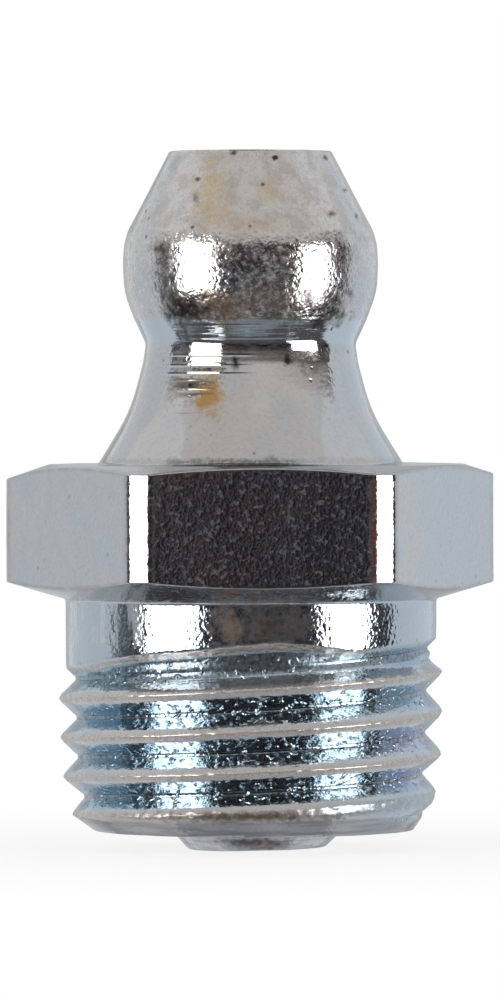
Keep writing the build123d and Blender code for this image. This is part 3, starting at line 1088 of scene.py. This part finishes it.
def floor():
    """A plain pale floor that turns to clear white away from the object."""
    s = Shader(bpy.data.materials.new("floor_pale"))
    seen = s.node("ShaderNodeLightPath", {}).outputs["Is Camera Ray"]
    white = s.times(seen, s.span(s.length(s.place()), 0.003, 0.025, 0.85, 1.0))
    matt = s.node("ShaderNodeBsdfDiffuse", {"Color": (0.93, 0.93, 0.93, 1)}).outputs[0]
    glow = s.node("ShaderNodeEmission", {"Color": (1, 1, 1, 1), "Strength": 1.0}).outputs[0]
    material = s.finish(s.node("ShaderNodeMixShader", {0: white, 1: matt, 2: glow}))
    far = FLOOR_REACH
    corners = [(-far, -far, 0), (far, -far, 0), (far, far, 0), (-far, far, 0)]
    stage_piece("floor", corners, [(0, 1, 2, 3)], material).visible_glossy = False


# ---------------------------------------------------------------- camera
PICTURE_HEIGHT = 1000
PIXELS_PER_MM = 39.2
SENSOR = 36
CAMERA_DISTANCE = 230.0
CAMERA_AZIMUTH = -3.0
CAMERA_HEIGHT = 12.5
AIM_Z = 8.905
AIM_ASIDE = -0.015
ROLL = 0.08


def camera():
    """The photograph's view: nearly level, a little from the left."""
    data = bpy.data.cameras.new("camera")
    data.sensor_width = SENSOR
    data.lens = SENSOR * CAMERA_DISTANCE * PIXELS_PER_MM / PICTURE_HEIGHT
    data.clip_start = 0.01
    data.clip_end = 20
    cam = bpy.data.objects.new("camera", data)
    a = math.radians(CAMERA_AZIMUTH)
    cam.location = (
        (CAMERA_DISTANCE * math.sin(a) + AIM_ASIDE * math.cos(a)) * MM,
        (AIM_ASIDE * math.sin(a) - CAMERA_DISTANCE * math.cos(a)) * MM,
        CAMERA_HEIGHT * MM,
    )
    down = math.atan((CAMERA_HEIGHT - AIM_Z) / CAMERA_DISTANCE)
    cam.rotation_mode = "XYZ"
    cam.rotation_euler = (math.radians(90) - down, math.radians(ROLL), a)
    bpy.context.scene.collection.objects.link(cam)
    bpy.context.scene.camera = cam


# ---------------------------------------------------------------- pieces
def nipple():
    """The turned body, which takes the place of the CAD's."""
    verts, faces = body_mesh()
    obj = make_object("nipple_turned", verts, faces, [plated_steel(), bore_steel()])
    wear_shape(obj)
    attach(obj, "body")
    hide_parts("nipple_body")


def ball():
    """The check ball, round and polished."""
    low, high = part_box("check_ball")
    centre = (low + high) / 2
    bpy.ops.mesh.primitive_ico_sphere_add(subdivisions=5, radius=(high.z - low.z) / 2)
    obj = bpy.context.object
    obj.name = "check_ball_polished"
    obj.data.transform(Matrix.Translation(centre))
    for polygon in obj.data.polygons:
        polygon.use_smooth = True
    obj.data.materials.append(ball_steel())
    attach(obj, "ball")
    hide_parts("check_ball")


def coil_mesh(bottom, top):
    """Round wire wound between two heights of its centre line, with its ends cut square."""
    steps, sides = COIL_TURNS * STEPS_PER_TURN, WIRE_SIDES
    t = np.linspace(0, 1, steps + 1)
    a = 2 * math.pi * COIL_TURNS * t
    x, y, flat = np.cos(a), np.sin(a), np.zeros_like(a)
    rise = (top - bottom) / (2 * math.pi * COIL_TURNS)
    centre = np.stack([COIL_RADIUS * x, COIL_RADIUS * y, bottom + (top - bottom) * t], 1)
    out = np.stack([x, y, flat], 1)
    along = np.stack([-y * COIL_RADIUS, x * COIL_RADIUS, flat + rise], 1)
    along /= np.linalg.norm(along, axis=1)[:, None]
    up = np.cross(out, along)
    verts = []
    for k in range(steps + 1):
        for n in range(sides):
            b = 2 * math.pi * n / sides
            verts.append(centre[k] + WIRE_RADIUS * (math.cos(b) * out[k] + math.sin(b) * up[k]))
    quads = []
    for here in range(0, steps * sides, sides):
        for n in range(sides):
            m = (n + 1) % sides
            quads.append((here + n, here + sides + n, here + sides + m, here + m))
    ends = [tuple(range(sides)), tuple(reversed(range(steps * sides, steps * sides + sides)))]
    return verts, [(corners, OUTSIDE) for corners in quads + ends]


def spring():
    """The spring between the rolled lip and the ball, wound within the height of the CAD's spring.
    """
    low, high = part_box("valve_spring")
    bottom = low.z / MM + WIRE_RADIUS + COIL_GAP
    top = high.z / MM - WIRE_RADIUS - COIL_GAP
    verts, faces = coil_mesh(bottom, top)
    obj = make_object("valve_spring_round", verts, faces, [spring_steel()])
    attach(obj, "body")
    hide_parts("valve_spring")
    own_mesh(obj)


camera()
studio()
floor()
nipple()
ball()
spring()
bpy.context.scene.view_settings.view_transform = "Standard"
